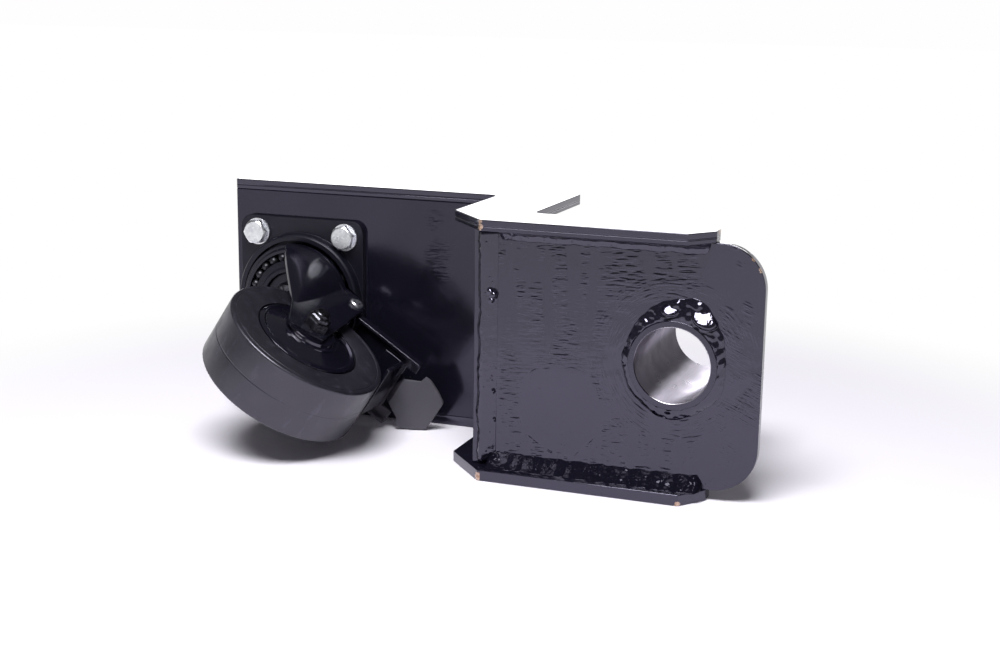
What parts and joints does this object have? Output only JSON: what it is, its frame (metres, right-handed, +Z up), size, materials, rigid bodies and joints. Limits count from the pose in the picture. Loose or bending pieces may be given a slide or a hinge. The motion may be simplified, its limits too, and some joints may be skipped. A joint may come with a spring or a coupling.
{
  "type": "gate wheel",
  "caption": "Welded offset gate bracket with a round post sleeve, carrying a swivel caster with a foot brake.",
  "frame": {"origin": "centre of the post sleeve's bore, at its mid length", "axes": "+Y along the bore, pointing up when the gate wheel is in use; -X along the arm to the caster; +Z up as stored, with the bracket lying on its lower side plate"},
  "size_m": [0.3716, 0.1605, 0.1524],
  "materials": {
    "bracket_paint": "gloss black enamel",
    "weld_paint": "gloss black over weld",
    "sleeve_steel": "gloss black outside, bare bore",
    "caster_paint": "gloss black",
    "zinc": "bright zinc",
    "steel": "greased",
    "tread": "satin",
    "core": "satin",
    "pedal": "satin dark grey"
  },
  "bodies": {
    "bracket": {"side_plate_upper": "bracket_paint", "side_plate_lower": "bracket_paint", "arm_plate": "bracket_paint", "riser_web": "bracket_paint", "bush_plate": "bracket_paint", "post_sleeve": "sleeve_steel", "weld_sleeve": "weld_paint", "weld_upper": "weld_paint", "weld_lower": "weld_paint", "weld_riser": "weld_paint", "caster_plate": "caster_paint", "plate_bolts": "zinc", "plate_washers": "zinc", "plate_nuts": "zinc", "kingpin": "steel", "kingpin_nut": "steel", "lower_race": "steel", "upper_balls": "steel", "lower_balls": "steel"},
    "swivel": {"fork": "caster_paint", "axle_bolt": "caster_paint", "axle_nut": "caster_paint", "axle_bush": "steel", "thread_guards": "caster_paint", "brake_pin": "steel"},
    "wheel": {"tyre": "tread", "wheel_core": "core", "rollers": "steel"},
    "brake": {"brake_lever": "pedal", "brake_shoe": "caster_paint", "brake_spring": "steel"}
  },
  "joints": [
    {"name": "swivel", "type": "hinge", "parent": "bracket", "child": "swivel", "pos_m": [-0.2727, 0.04127, 0], "axis": [0, 1, 0], "continuous": true},
    {"name": "wheel_spin", "type": "hinge", "parent": "swivel", "child": "wheel", "pos_m": [-0.23802, -0.04233, -0.02261], "axis": [0.5461, 0, 0.8377], "continuous": true},
    {"name": "brake_pedal", "type": "hinge", "parent": "swivel", "child": "brake", "pos_m": [-0.24045, 0.01918, -0.02102], "axis": [-0.5461, 0, -0.8377], "range_deg": [0, 6.4]}
  ]
}
